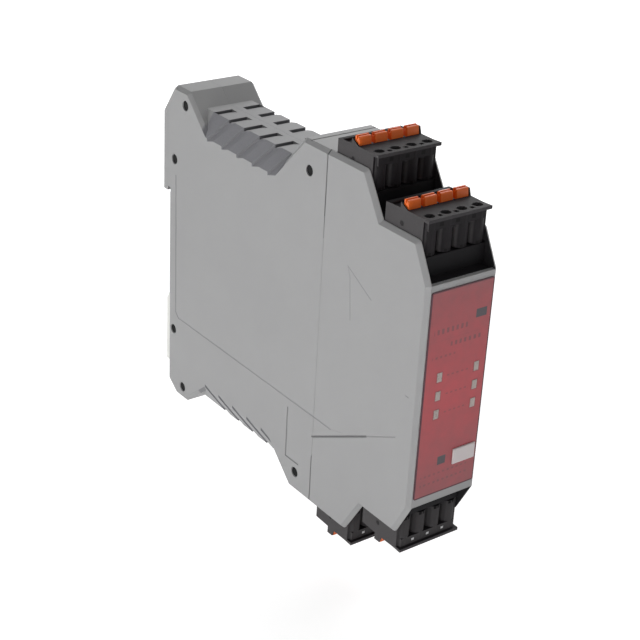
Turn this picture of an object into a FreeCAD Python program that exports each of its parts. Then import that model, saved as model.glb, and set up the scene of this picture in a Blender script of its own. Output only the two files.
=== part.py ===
import FreeCAD, Part
import Sketcher
import os
from types import SimpleNamespace

# Safety relay in a slim module housing that clips onto a 35 mm rail, in millimetres.
# Origin: middle of the rail seat. +Y points at the rail, the front faces -Y, +Z is up.
# Distances named "depth" run from the rail seat towards the front.

values = {
    # Housing as a whole
    "module_width": 22.5,
    "side_wall": 1.25,
    "shell_wall": 1.3,
    "edge_bevel": 1.05,
    "mitre": 0.414,
    "parting_gap": 0.09,
    "sliding_fit": 0.15,
    "close_fit": 0.05,
    "contact_gap": 0.3,
    # Rail foot at the back
    "rail_half": 17.5,
    "rail_slot": 1.4,
    "rail_play": 0.5,
    "hook_overlap": 0.7,
    "hook_back": 4.5,
    "foot_depth": 5.5,
    "seat_margin": 0.2,
    "seat_relief": 0.15,
    # Rear case, upper outline
    "shoulder_height": 41.0,
    "crown_depth": 0.63,
    "crown_height": 48.3,
    "hump_height": 49.6,
    "hump_back": 2.35,
    "hump_front": 9.25,
    "valley_back": 20.0,
    "valley_height": 39.2,
    "valley_front": 51.2,
    "roof_back": 64.6,
    "seam_depth": 74.9,
    # Rear case, lower outline
    "heel_height": 46.6,
    "heel_depth": 4.2,
    "low_hump_height": 49.5,
    "low_hump_front": 9.4,
    "low_valley_back": 22.0,
    "low_valley_front": 52.9,
    "low_roof_back": 64.8,
    # Louvred vents, top and bottom
    "vent_height": 45.6,
    "vent_flat": 7.6,
    "vent_spine": 1.85,
    "vent_wall": 1.3,
    "vent_first": 17.4,
    "vent_pitch": 7.45,
    "vent_count": 5,
    "vent_step": 0.75,
    "vent_slit": 0.8,
    "vent_ramp": 3.1,
    "vent_lean": 5.5,
    "flank_step": 0.95,
    "low_vent_shift": 1.3,
    "vent_lap": 4.0,
    "vent_cavity_back": 13.0,
    "vent_cavity_front": 54.0,
    # Shallow grooves across the roof and the floor
    "line_place": 66.6,
    "line_wide": 0.4,
    "line_depth": 0.3,
    # Dowels that pin the two rear shells together
    "dowel_bore": 1.5,
    "dowel_radius": 1.42,
    "dowel_sunk": 0.3,
    "dowel_boss": 2.5,
    "hump_dowel_depth": 7.9,
    "hump_dowel_height": 45.2,
    "foot_dowel_depth": 2.3,
    "foot_dowel_height": 27.5,
    "roof_dowel_depth": 67.5,
    "roof_dowel_height": 44.9,
    # Tongues of the shells inside the hood
    "tongue_half": 30.0,
    "tongue_reach": 4.0,
    "tongue_root": 3.0,
    "tongue_wall": 0.55,
    # Stepped terminal hood
    "hood_lift": 1.6,
    "tier_one_half": 51.85,
    "tier_two_half": 40.95,
    "front_half": 31.0,
    "pocket_depth": 76.8,
    "tier_one_front": 90.1,
    "tier_two_back": 96.85,
    "tier_two_front": 110.76,
    "front_depth": 116.0,
    "front_wall": 1.25,
    "rim_round": 1.5,
    # Front label, light windows and marker
    "label_half": 9.95,
    "label_top": 30.9,
    "label_bottom": 27.0,
    "label_thick": 0.25,
    "label_round": 0.6,
    "lamp_width": 1.5,
    "lamp_height": 2.5,
    "lamp_left": -5.1,
    "lamp_right": 6.85,
    "lamp_middle": 1.9,
    "lamp_pitch": 5.2,
    "lamp_proud": 0.3,
    "marker_left": 1.8,
    "marker_wide": 7.3,
    "marker_low": -19.8,
    "marker_tall": 4.45,
    "marker_thick": 0.5,
    # Foot latch
    "latch_half": 9.5,
    "latch_gap": 0.15,
    "latch_bottom": 41.0,
    "latch_tip": 16.5,
    "latch_tip_depth": 0.9,
    "latch_slope": 3.5,
    "latch_travel": 4.0,
    "guide_neck": 2.2,
    "guide_head": 4.2,
    "guide_lip": 1.2,
    "guide_depth": 3.8,
    "guide_top": 31.0,
    "guide_length": 6.0,
    "slot_bottom": 45.4,
    "pry_half": 2.5,
    "pry_height": 1.8,
    "pry_depth": 1.5,
    "pry_edge": 1.6,
    "spring_strip": 0.45,
    "spring_half": 3.6,
    "spring_depth": 1.6,
    "spring_bars": 5,
    # Terminal plugs, measured from the foot of their columns and their back face
    "poles": 4,
    "pole_pitch": 5.0,
    "plug_half": 9.9,
    "plug_back": 76.9,
    "plug_foot": 48.0,
    "tier_reach": 20.0,
    "tier_drop": 9.6,
    "plug_rear_height": 9.1,
    "plug_height": 9.45,
    "rear_wall": 1.2,
    "side_edge": 0.55,
    "side_front": 14.1,
    "lip_front": 15.9,
    "lip_height": 9.65,
    "lip_thick": 0.85,
    "column_axis": 13.0,
    "column_radius": 2.05,
    "collar_foot": 6.4,
    "collar_front": 15.0,
    "window_half": 0.6,
    "window_low": 7.1,
    "window_tall": 1.0,
    "window_depth": 0.8,
    "notch_inner": 0.15,
    "notch_outer": 0.9,
    "notch_tall": 0.8,
    "plug_tongue": 4.0,
    "tongue_inset": 0.6,
    "wire_half": 1.3,
    "wire_back": 12.4,
    "wire_axis": 13.25,
    "wire_floor": 1.0,
    "probe_half": 0.6,
    "probe_middle": 14.1,
    "probe_depth": 2.2,
    "recess_floor": 8.4,
    # Cheeks beside the levers: a low sloped one and a tall one
    "cheek_back": 5.4,
    "cheek_foot": 8.1,
    "low_cheek": 10.8,
    "high_cheek": 11.3,
    "high_cheek_front": 7.5,
    # Release levers
    "lever_width": 3.85,
    "lever_front": 7.85,
    "lever_lean": 0.3,
    "lever_back": 5.95,
    "lever_low": 11.6,
    "lever_high": 11.75,
    "lever_foot": 9.0,
    "lever_edge": 0.25,
    "lever_travel": 1.2,
    "groove_front": 6.95,
    "groove_wide": 0.35,
    "groove_depth": 0.6,
    "stem_half": 1.15,
    "stem_front": 7.3,
    "stem_back": 6.15,
    "stem_foot": 5.2,
    # Headers, their pins and the clamp springs
    "header_wall": 1.0,
    "header_front": 13.4,
    "header_thick": 1.4,
    "header_floor": 1.5,
    "shelf_drop": 5.8,
    "shelf_thick": 1.2,
    "pin_half": 0.4,
    "pin_depth": 6.0,
    "pin_top": 2.5,
    "pin_first_tail": 8.5,
    "pin_tail_step": 2.2,
    "clamp_strip": 0.3,
    "clamp_half": 1.0,
    "clamp_height": 6.2,
    "clamp_tongue": 3.4,
    "clamp_reach": 0.8,
    # Circuit boards and what they carry
    "board_face": 8.1,
    "board_thick": 1.2,
    "board_back": 9.0,
    "board_half": 36.0,
    "board_shoulder": 62.0,
    "board_wing": 37.8,
    "board_neck": 94.0,
    "board_neck_half": 29.3,
    "lamp_board_thick": 1.2,
    "lamp_board_half": 9.2,
    "lamp_board_top": 29.0,
    "lamp_board_bottom": 25.0,
    "relay_back": 15.0,
    "relay_length": 40.0,
    "relay_width": 13.0,
    "relay_tall": 16.5,
    "relay_pitch": 16.0,
    "relay_round": 0.6,
    "capacitor_depth": 70.0,
    "capacitor_height": 20.0,
    "capacitor_radius": 6.3,
    "capacitor_tall": 16.0,
    "coil_back": 62.0,
    "coil_length": 20.0,
    "coil_width": 18.0,
    "coil_tall": 15.0,
    "coil_middle": -12.0,
}

doc = FreeCAD.newDocument("SafetyRelay")
sheet = doc.addObject("Spreadsheet::Sheet", "Sizes")
for row, (alias, value) in enumerate(values.items(), start=1):
    sheet.set(f"A{row}", alias)
    sheet.set(f"B{row}", str(value))
    sheet.setAlias(f"B{row}", alias)
doc.recompute()


class Size:
    # A length together with the expression on the sheet that gives it.
    def __init__(self, value, text):
        self.value = value
        self.text = text

    def __add__(self, other):
        other = as_size(other)
        return Size(self.value + other.value, f"({self.text} + {other.text})")

    def __radd__(self, other):
        return as_size(other) + self

    def __sub__(self, other):
        other = as_size(other)
        return Size(self.value - other.value, f"({self.text} - {other.text})")

    def __rsub__(self, other):
        return as_size(other) - self

    def __mul__(self, other):
        other = as_size(other)
        return Size(self.value * other.value, f"({self.text} * {other.text})")

    def __rmul__(self, other):
        return as_size(other) * self

    def __truediv__(self, other):
        other = as_size(other)
        return Size(self.value / other.value, f"({self.text} / {other.text})")

    def __neg__(self):
        return as_size(-1) * self


def as_size(number):
    if isinstance(number, Size):
        return number
    return Size(float(number), f"({number})")


d = SimpleNamespace(**{name: Size(value, "Sizes." + name) for name, value in values.items()})
zero = as_size(0)
half = d.module_width / 2
inside = half - d.side_wall
nodes = []


def bind(thing, prop, size):
    thing.setExpression(prop, as_size(size).text)


def new_body(label):
    body = doc.addObject("PartDesign::Body", label)
    body.Label = label
    body.AllowCompound = True
    nodes.append(body)
    return body


def origin_part(body, role):
    return [part for part in body.Origin.OriginFeatures if part.Role == role][0]


def new_sketch(body, name, role, offset=None):
    sketch = body.newObject("Sketcher::SketchObject", name)
    sketch.AttachmentSupport = [(origin_part(body, role), "")]
    sketch.MapMode = "FlatFace"
    if offset is not None:
        sketch.AttachmentOffset = FreeCAD.Placement(FreeCAD.Vector(0, 0, offset.value), FreeCAD.Rotation())
        bind(sketch, "AttachmentOffset.Base.z", offset)
    return sketch


def hold(sketch, element, end, point):
    for kind, part in (("DistanceX", point[0]), ("DistanceY", point[1])):
        index = sketch.addConstraint(Sketcher.Constraint(kind, -1, 1, element, end, part.value))
        bind(sketch, f"Constraints[{index}]", part)


def polygon(sketch, points):
    points = [(as_size(a), as_size(b)) for a, b in points]
    first = sketch.GeometryCount
    count = len(points)
    for i, (a, b) in enumerate(points):
        c, e = points[(i + 1) % count]
        line = Part.LineSegment(FreeCAD.Vector(a.value, b.value, 0), FreeCAD.Vector(c.value, e.value, 0))
        sketch.addGeometry(line, False)
    for i in range(count):
        joint = Sketcher.Constraint("Coincident", first + i, 2, first + (i + 1) % count, 1)
        sketch.addConstraint(joint)
    for i, point in enumerate(points):
        hold(sketch, first + i, 1, point)


def rectangle(sketch, low, high):
    polygon(sketch, [low, (high[0], low[1]), high, (low[0], high[1])])


def circle(sketch, centre, radius):
    centre = (as_size(centre[0]), as_size(centre[1]))
    middle = FreeCAD.Vector(centre[0].value, centre[1].value, 0)
    index = sketch.addGeometry(Part.Circle(middle, FreeCAD.Vector(0, 0, 1), radius.value), False)
    hold(sketch, index, 3, centre)
    limit = sketch.addConstraint(Sketcher.Constraint("Radius", index, radius.value))
    bind(sketch, f"Constraints[{limit}]", radius)


def feature(body, kind, sketch, length, along=True, both=False):
    # along: the way of the sketch's normal, both: half the length on each side of it.
    made = body.newObject(kind, sketch.Name + kind.split("::")[1])
    made.Profile = sketch
    length = as_size(length)
    made.Length = length.value
    bind(made, "Length", length)
    made.SideType = "Symmetric" if both else "One side"
    made.Reversed = (not along) if kind == "PartDesign::Pad" else along
    sketch.Visibility = False
    return made


def pad(body, sketch, length, along=True, both=False):
    return feature(body, "PartDesign::Pad", sketch, length, along, both)


def pocket(body, sketch, length, along=True, both=False):
    return feature(body, "PartDesign::Pocket", sketch, length, along, both)


def repeat(body, name, originals, axis, count, pitch, backwards=False):
    pattern = body.newObject("PartDesign::LinearPattern", name)
    pattern.Originals = originals
    pattern.Direction = (origin_part(body, axis), [""])
    pattern.Reversed = backwards
    pattern.Mode = "Spacing"
    pattern.Offset = pitch.value
    bind(pattern, "Offset", pitch)
    pattern.Occurrences = max(1, int(round(as_size(count).value)))
    bind(pattern, "Occurrences", count)
    body.Tip = pattern
    return pattern


def dress(body, kind, base, size, wanted):
    # A chamfer or fillet on the edges of the base that the test wants.
    doc.recompute()
    names = [f"Edge{i}" for i, edge in enumerate(base.Shape.Edges, start=1) if wanted(edge)]
    made = body.newObject(kind, base.Name + kind.split("::")[1])
    made.Base = (base, names)
    prop = "Size" if kind.endswith("Chamfer") else "Radius"
    bind(made, prop, size)
    return made


def place(thing, x, y, z, upside_down=False):
    # The lower terminals are the upper ones turned half a turn about Y.
    spin = FreeCAD.Rotation(FreeCAD.Vector(0, 1, 0), 180 if upside_down else 0)
    spots = [as_size(spot) for spot in (x, y, z)]
    thing.Placement = FreeCAD.Placement(FreeCAD.Vector(*[spot.value for spot in spots]), spin)
    for letter, spot in zip("xyz", spots):
        bind(thing, f"Placement.Base.{letter}", spot)


def near(a, b):
    return abs(a - b) < 0.001


def box_node(label, low, high):
    made = doc.addObject("Part::Box", label)
    made.Label = label
    for prop, a, b in zip(("Length", "Width", "Height"), low, high):
        bind(made, prop, as_size(b) - a)
    place(made, *low)
    nodes.append(made)
    return made


# Outline of the rear case seen from the side, as (Y, Z).
hook_height = d.rail_half - d.hook_overlap
slot_height = d.rail_half + d.rail_play
# The rail seat ends clear of the hook above it and of the latch's nose below it.
seat_high = hook_height - d.seat_margin
seat_low = d.latch_tip - d.seat_margin
roof = d.hood_lift + d.tier_one_half
floor = d.hood_lift - d.tier_one_half
case_outline = [
    (-d.seat_relief, -d.heel_height),
    (-d.seat_relief, -seat_low),
    (zero, -seat_low),
    (zero, seat_high),
    (-d.seat_relief, seat_high),
    (-d.seat_relief, slot_height),
    (d.rail_slot, slot_height),
    (d.rail_slot, hook_height),
    (d.hook_back, hook_height),
    (d.hook_back, d.shoulder_height),
    (-d.crown_depth, d.crown_height),
    (-d.hump_back, d.hump_height),
    (-d.hump_front, d.hump_height),
    (-d.valley_back, d.valley_height),
    (-d.valley_front, d.valley_height),
    (-d.roof_back, roof),
    (-d.seam_depth, roof),
    (-d.seam_depth, floor),
    (-d.low_roof_back, floor),
    (-d.low_valley_front, -d.valley_height),
    (-d.low_valley_back, -d.valley_height),
    (-d.low_hump_front, -d.low_hump_height),
    (-d.heel_depth, -d.low_hump_height),
]

# The hollow follows the outline one wall further in; the corners of about 45 degrees are mitred.
lap = d.mitre * d.shell_wall
case_hollow = [
    (-d.foot_depth, d.shell_wall - d.low_hump_height),
    (-d.foot_depth, d.hump_height - d.shell_wall),
    (lap - d.hump_front, d.hump_height - d.shell_wall),
    (lap - d.valley_back, d.valley_height - d.shell_wall),
    (-lap - d.valley_front, d.valley_height - d.shell_wall),
    (-lap - d.roof_back, roof - d.shell_wall),
    (-d.seam_depth, roof - d.shell_wall),
    (-d.seam_depth, floor + d.shell_wall),
    (-lap - d.low_roof_back, floor + d.shell_wall),
    (-lap - d.low_valley_front, d.shell_wall - d.valley_height),
    (lap - d.low_valley_back, d.shell_wall - d.valley_height),
    (lap - d.low_hump_front, d.shell_wall - d.low_hump_height),
]

roof_dowels = [
    (-d.roof_dowel_depth, d.hood_lift / 2 + d.roof_dowel_height),
    (-d.roof_dowel_depth, d.hood_lift / 2 - d.roof_dowel_height),
]
hump_dowels = [
    (-d.hump_dowel_depth, d.hump_dowel_height),
    (-d.hump_dowel_depth, -d.hump_dowel_height),
]
foot_dowels = [
    (-d.foot_dowel_depth, d.foot_dowel_height),
    (-d.foot_dowel_depth, -d.foot_dowel_height),
]
dowels = roof_dowels + hump_dowels + foot_dowels


def bevelled(edge, side):
    # Outer rim of a side face, but not the rail seat, the vents' edges or the seam.
    box = edge.BoundBox
    if not near(box.XMin, side * half.value) or not near(box.XMax, side * half.value):
        return False
    in_foot = box.YMin > -values["seat_relief"] - 0.001 and box.ZMax < values["shoulder_height"] - 1
    in_valley = near(abs(box.ZMin), values["valley_height"]) and near(box.ZMin, box.ZMax)
    in_seam = near(box.YMin, box.YMax) and near(box.YMin, -values["seam_depth"])
    return not (in_foot or in_valley or in_seam)


def vent_ridge(body, name, side, up):
    # One half of a vent's ridge: a flat top with a flank that falls to the side face.
    # side is the half's side in X, up is 1 for the roof and -1 for the underside.
    top = up * d.vent_height
    edge = up * d.valley_height
    root = edge - up * d.shell_wall
    ridge = new_sketch(body, name + "Ridge", "XZ_Plane", d.hump_front)
    polygon(ridge, [
        (zero, root),
        (side * half, root),
        (side * half, edge),
        (side * d.vent_flat, top),
        (zero, top),
    ])
    pad(body, ridge, d.roof_back - d.vent_lap - d.hump_front)


def louvres(body, name, side, up):
    # The ridge's own hollow, which opens into the case, and its row of saw-tooth louvres.
    top = up * d.vent_height
    edge = up * d.valley_height
    root = edge - up * d.shell_wall
    first = -d.vent_first if up > 0 else -d.vent_first - d.low_vent_shift
    # The flank's slope carries the hollow's own flank, one wall further in.
    fall = (d.vent_height - d.valley_height) / (half - d.vent_flat)
    skin = d.vent_wall
    inner_flat = d.vent_flat - skin * d.mitre
    inner_edge = d.vent_height - skin - fall * (inside - inner_flat)
    hollow = new_sketch(body, name + "Hollow", "XZ_Plane", d.vent_cavity_back)
    polygon(hollow, [
        (zero, root),
        (side * inside, root),
        (side * inside, up * inner_edge),
        (side * inner_flat, top - up * skin),
        (zero, top - up * skin),
    ])
    pocket(body, hollow, d.vent_cavity_front - d.vent_cavity_back)
    # Saw-tooth on the flat: a low riser with a slit at its foot, then a ramp back up.
    clear = up * d.vent_step
    tooth = new_sketch(body, name + "Tooth", "YZ_Plane", side * d.vent_spine)
    polygon(tooth, [
        (first, top + clear),
        (first, top - clear - up * skin),
        (first - d.vent_slit, top - clear - up * skin),
        (first - d.vent_slit, top - clear * (d.vent_ramp - d.vent_slit) / d.vent_ramp),
        (first - d.vent_ramp, top),
        (first - d.vent_ramp, top + clear),
    ])
    cut = pocket(body, tooth, d.vent_flat - d.vent_spine, along=side > 0)
    repeat(body, name + "Teeth", [cut], "Y_Axis", d.vent_count, d.vent_pitch, backwards=True)
    # The same step runs on down the flank, leaning back to the side face.
    start = first - d.vent_pitch
    ends = []
    for station, y, z in ((d.vent_flat, start, top), (half, start + d.vent_lean, edge)):
        end = new_sketch(body, f"{name}Flank{len(ends) + 1}", "YZ_Plane", side * station)
        polygon(end, [
            (y, z + clear),
            (y, z - up * d.flank_step),
            (y - d.vent_ramp, z),
            (y - d.vent_ramp, z + clear),
        ])
        ends.append(end)
    flank = body.newObject("PartDesign::SubtractiveLoft", name + "Flank")
    flank.Profile = ends[0]
    flank.Sections = [ends[1]]
    flank.Ruled = True
    repeat(body, name + "Flanks", [flank], "Y_Axis", d.vent_count, d.vent_pitch, backwards=True)


def rear_shell(label, side):
    body = new_body(label)
    outline = new_sketch(body, label + "Outline", "YZ_Plane")
    polygon(outline, case_outline)
    block = pad(body, outline, half, along=side > 0)
    dress(body, "PartDesign::Chamfer", block, d.edge_bevel, lambda edge: bevelled(edge, side))
    vent_ridge(body, label + "Top", side, 1)
    vent_ridge(body, label + "Low", side, -1)
    hollow = new_sketch(body, label + "Hollow", "YZ_Plane")
    polygon(hollow, case_hollow)
    pocket(body, hollow, inside, along=side > 0)
    louvres(body, label + "Top", side, 1)
    louvres(body, label + "Low", side, -1)
    # The roof and the floor run on between the hood's walls, up to the rear plugs.
    apron = new_sketch(body, label + "Apron", "YZ_Plane")
    apron_back = d.shell_wall - d.seam_depth
    apron_front = d.sliding_fit - d.pocket_depth
    rectangle(apron, (apron_front, roof - d.shell_wall), (apron_back, roof))
    rectangle(apron, (apron_front, floor), (apron_back, floor + d.shell_wall))
    pad(body, apron, inside - d.close_fit, along=side > 0)
    # Shallow grooves across the roof and the floor.
    lines = new_sketch(body, label + "Lines", "YZ_Plane")
    for level, way in ((roof, 1), (floor, -1)):
        ends = (level - way * d.line_depth, level + way * d.line_depth)
        rectangle(lines, (-d.line_place - d.line_wide, min(ends, key=lambda size: size.value)),
                  (-d.line_place, max(ends, key=lambda size: size.value)))
    pocket(body, lines, half, along=side > 0)
    # Bosses and bores for the dowels.
    bosses = new_sketch(body, label + "Bosses", "YZ_Plane")
    for y, z in roof_dowels + hump_dowels:
        rectangle(bosses, (y - d.dowel_boss, z - d.dowel_boss), (y + d.dowel_boss, z + d.dowel_boss))
    pad(body, bosses, inside + d.close_fit, along=side > 0)
    bores = new_sketch(body, label + "Bores", "YZ_Plane")
    for centre in dowels:
        circle(bores, centre, d.dowel_bore)
    pocket(body, bores, half, along=side > 0)
    # T-shaped guide of the foot latch, half of it in each shell.
    guide = new_sketch(body, label + "Guide", "XY_Plane", -d.slot_bottom)
    neck = side * (d.guide_neck + d.sliding_fit)
    head = side * (d.guide_head + d.sliding_fit)
    polygon(guide, [
        (zero, d.guide_lip),
        (neck, d.guide_lip),
        (neck, -d.guide_lip),
        (head, -d.guide_lip),
        (head, -d.guide_depth),
        (zero, -d.guide_depth),
    ])
    pocket(body, guide, d.slot_bottom - d.guide_top + d.contact_gap)
    # Tongue that the hood slides over.
    tongue = new_sketch(body, label + "Tongue", "XY_Plane", -d.tongue_half)
    tongue_out = inside - d.close_fit
    tongue_in = tongue_out - d.tongue_wall
    polygon(tongue, [
        (side * (inside + d.close_fit), d.tongue_root - d.seam_depth),
        (side * tongue_in, d.tongue_root - d.seam_depth),
        (side * tongue_in, -d.tongue_reach - d.seam_depth),
        (side * tongue_out, -d.tongue_reach - d.seam_depth),
        (side * tongue_out, -d.seam_depth),
        (side * (inside + d.close_fit), -d.seam_depth),
    ])
    pad(body, tongue, 2 * d.tongue_half)


rear_shell("left_rear_shell", -1)
rear_shell("right_rear_shell", 1)

# Dowels, sunk a little below both side faces.
pins = []
for number, (y, z) in enumerate(dowels, start=1):
    pin = doc.addObject("Part::Cylinder", f"Dowel{number}")
    bind(pin, "Radius", d.dowel_radius)
    bind(pin, "Height", 2 * (half - d.dowel_sunk))
    across = FreeCAD.Rotation(FreeCAD.Vector(0, 1, 0), 90)
    pin.Placement = FreeCAD.Placement(FreeCAD.Vector(0, 0, 0), across)
    for letter, spot in zip("xyz", (d.dowel_sunk - half, y, z)):
        bind(pin, f"Placement.Base.{letter}", spot)
    pins.append(pin)
dowel_set = doc.addObject("Part::MultiFuse", "dowel_pins")
dowel_set.Label = "dowel_pins"
dowel_set.Shapes = pins
nodes.append(dowel_set)

# Stepped hood: two side walls joined by the front wall.
front_top = d.hood_lift + d.front_half
front_low = d.hood_lift - d.front_half
hood_back = -d.seam_depth - d.parting_gap


def hood_step(up):
    return [
        (hood_back, d.hood_lift + up * d.tier_one_half),
        (-d.tier_one_front, d.hood_lift + up * d.tier_one_half),
        (-d.tier_two_back, d.hood_lift + up * d.tier_two_half),
        (-d.tier_two_front, d.hood_lift + up * d.tier_two_half),
        (-d.front_depth, d.hood_lift + up * d.front_half),
    ]


hood = new_body("front_hood")
hood_outline = new_sketch(hood, "HoodOutline", "YZ_Plane")
polygon(hood_outline, hood_step(1) + hood_step(-1)[::-1])
hood_block = pad(hood, hood_outline, d.module_width, both=True)


def rim_corner(edge):
    # Corners where a tier's rim turns down into the next step.
    box = edge.BoundBox
    crosses = box.XLength > 1
    fronts = (-values["tier_one_front"], -values["tier_two_front"])
    return crosses and (near(box.YMin, fronts[0]) or near(box.YMin, fronts[1]))


def hood_rim(edge):
    box = edge.BoundBox
    on_side = near(box.XMin, box.XMax) and near(abs(box.XMin), half.value)
    at_seam = near(box.YMin, box.YMax) and near(box.YMin, hood_back.value)
    return on_side and not at_seam


hood_corners = dress(hood, "PartDesign::Fillet", hood_block, d.rim_round, rim_corner)
hood_bevel = dress(hood, "PartDesign::Chamfer", hood_corners, d.edge_bevel, hood_rim)
hood_open = new_sketch(hood, "HoodOpen", "YZ_Plane")
beyond = d.front_depth + d.front_wall
above = roof + d.front_wall
below = floor - d.front_wall
wall_face = d.front_wall - d.front_depth
polygon(hood_open, [
    (hood_back, above),
    (-beyond, above),
    (-beyond, front_top),
    (wall_face, front_top),
    (wall_face, front_low),
    (-beyond, front_low),
    (-beyond, below),
    (hood_back, below),
])
pocket(hood, hood_open, 2 * inside, both=True)

# Light windows: two columns of three.
lamp_spots = []
for column in (d.lamp_left, d.lamp_right):
    for step in (1, 0, -1):
        lamp_spots.append((column, d.lamp_middle + step * d.lamp_pitch))


def lamp_holes(sketch, gap):
    for x, z in lamp_spots:
        low = (x - d.lamp_width / 2 - gap, z - d.lamp_height / 2 - gap)
        high = (x + d.lamp_width / 2 + gap, z + d.lamp_height / 2 + gap)
        rectangle(sketch, low, high)


hood_windows = new_sketch(hood, "HoodWindows", "XZ_Plane", d.front_depth)
lamp_holes(hood_windows, d.close_fit)
pocket(hood, hood_windows, d.front_wall, along=False)

label = new_body("front_label")
label_face = new_sketch(label, "LabelFace", "XZ_Plane", d.front_depth)
rectangle(label_face, (-d.label_half, -d.label_bottom), (d.label_half, d.label_top))
lamp_holes(label_face, d.close_fit)
label_plate = pad(label, label_face, d.label_thick)


def label_corner(edge):
    box = edge.BoundBox
    return box.YLength > 0.01 and box.XLength < 0.01 and near(abs(box.XMin), values["label_half"])


dress(label, "PartDesign::Fillet", label_plate, d.label_round, label_corner)

lamp_back = wall_face + d.contact_gap
lamp_front = -d.front_depth - d.lamp_proud
for number, (x, z) in enumerate(lamp_spots, start=1):
    box_node(
        f"lamp_lens_{number}",
        (x - d.lamp_width / 2, lamp_front, z - d.lamp_height / 2),
        (x + d.lamp_width / 2, lamp_back, z + d.lamp_height / 2),
    )

marker = new_body("marker_plate")
marker_face = new_sketch(marker, "MarkerFace", "XZ_Plane", d.front_depth + d.label_thick)
marker_high = (d.marker_left + d.marker_wide, d.marker_low + d.marker_tall)
rectangle(marker_face, (d.marker_left, d.marker_low), marker_high)
marker_block = pad(marker, marker_face, d.marker_thick)
marker_front = -values["front_depth"] - values["label_thick"] - values["marker_thick"]
dress(marker, "PartDesign::Chamfer", marker_block, d.marker_thick / 3,
      lambda edge: near(edge.BoundBox.YMin, marker_front) and near(edge.BoundBox.YMax, marker_front))

# Foot latch: a plate behind the seat with a sloped nose that grips the rail's lower edge,
# carried by a T-shaped guide block that slides in the shells.
latch = new_body("rail_latch")
latch_side = new_sketch(latch, "LatchSide", "YZ_Plane")
nose = d.rail_slot + d.latch_gap
polygon(latch_side, [
    (d.latch_gap, -d.latch_bottom),
    (d.hook_back, -d.latch_bottom),
    (d.hook_back, -d.latch_tip - d.latch_slope),
    (nose + d.latch_tip_depth, -d.latch_tip),
    (nose, -d.latch_tip),
    (nose, -slot_height),
    (d.latch_gap, -slot_height),
])
pad(latch, latch_side, 2 * d.latch_half, both=True)
guide_foot = d.guide_top + d.guide_length
latch_guide = new_sketch(latch, "LatchGuide", "XY_Plane", -guide_foot)
guide_front = -d.guide_lip - d.sliding_fit
guide_tip = d.sliding_fit - d.guide_depth
polygon(latch_guide, [
    (-d.guide_neck, d.rail_slot),
    (d.guide_neck, d.rail_slot),
    (d.guide_neck, guide_front),
    (d.guide_head, guide_front),
    (d.guide_head, guide_tip),
    (-d.guide_head, guide_tip),
    (-d.guide_head, guide_front),
    (-d.guide_neck, guide_front),
])
pad(latch, latch_guide, d.guide_length)
pry = new_sketch(latch, "LatchPry", "XZ_Plane", -d.hook_back)
pry_low = -d.latch_bottom + d.pry_edge
rectangle(pry, (-d.pry_half, pry_low), (d.pry_half, pry_low + d.pry_height))
pocket(latch, pry, d.pry_depth)

# Latch spring: a flat strip folded to and fro between the guide block and the slot's end.
spring = new_body("latch_spring")
spring_low = -d.slot_bottom + d.close_fit
spring_tall = d.slot_bottom - guide_foot - 2 * d.close_fit
bars = int(values["spring_bars"])
bar_pitch = (spring_tall - d.spring_strip) / (bars - 1)
spring_middle = (guide_tip + guide_front) / 2
spring_face = new_sketch(spring, "SpringFace", "XZ_Plane", -spring_middle)
right_rim = []
left_rim = []
for number in range(bars - 1):
    high = spring_low + number * bar_pitch + d.spring_strip
    next_low = spring_low + (number + 1) * bar_pitch
    # Folds lie on the right and the left by turns, and the other rim dips in between two bars.
    folds_right = number % 2 == 0
    rim = -d.spring_half if folds_right else d.spring_half
    bottom = -rim - d.spring_strip if folds_right else d.spring_strip - d.spring_half
    dip = [(rim, high), (bottom, high), (bottom, next_low), (rim, next_low)]
    if folds_right:
        left_rim = dip[::-1] + left_rim
    else:
        right_rim += dip
spring_top = spring_low + spring_tall
loop = [(-d.spring_half, spring_low), (d.spring_half, spring_low)]
loop += right_rim
loop += [(d.spring_half, spring_top), (-d.spring_half, spring_top)]
loop += left_rim
polygon(spring_face, loop)
pad(spring, spring_face, d.spring_depth, both=True)


def pole_x(number):
    return d.pole_pitch * (number - (d.poles - 1) / 2)


first_pole = pole_x(0)
tongue_front = d.header_front - d.contact_gap
tongue_back = d.header_wall + d.contact_gap


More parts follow.
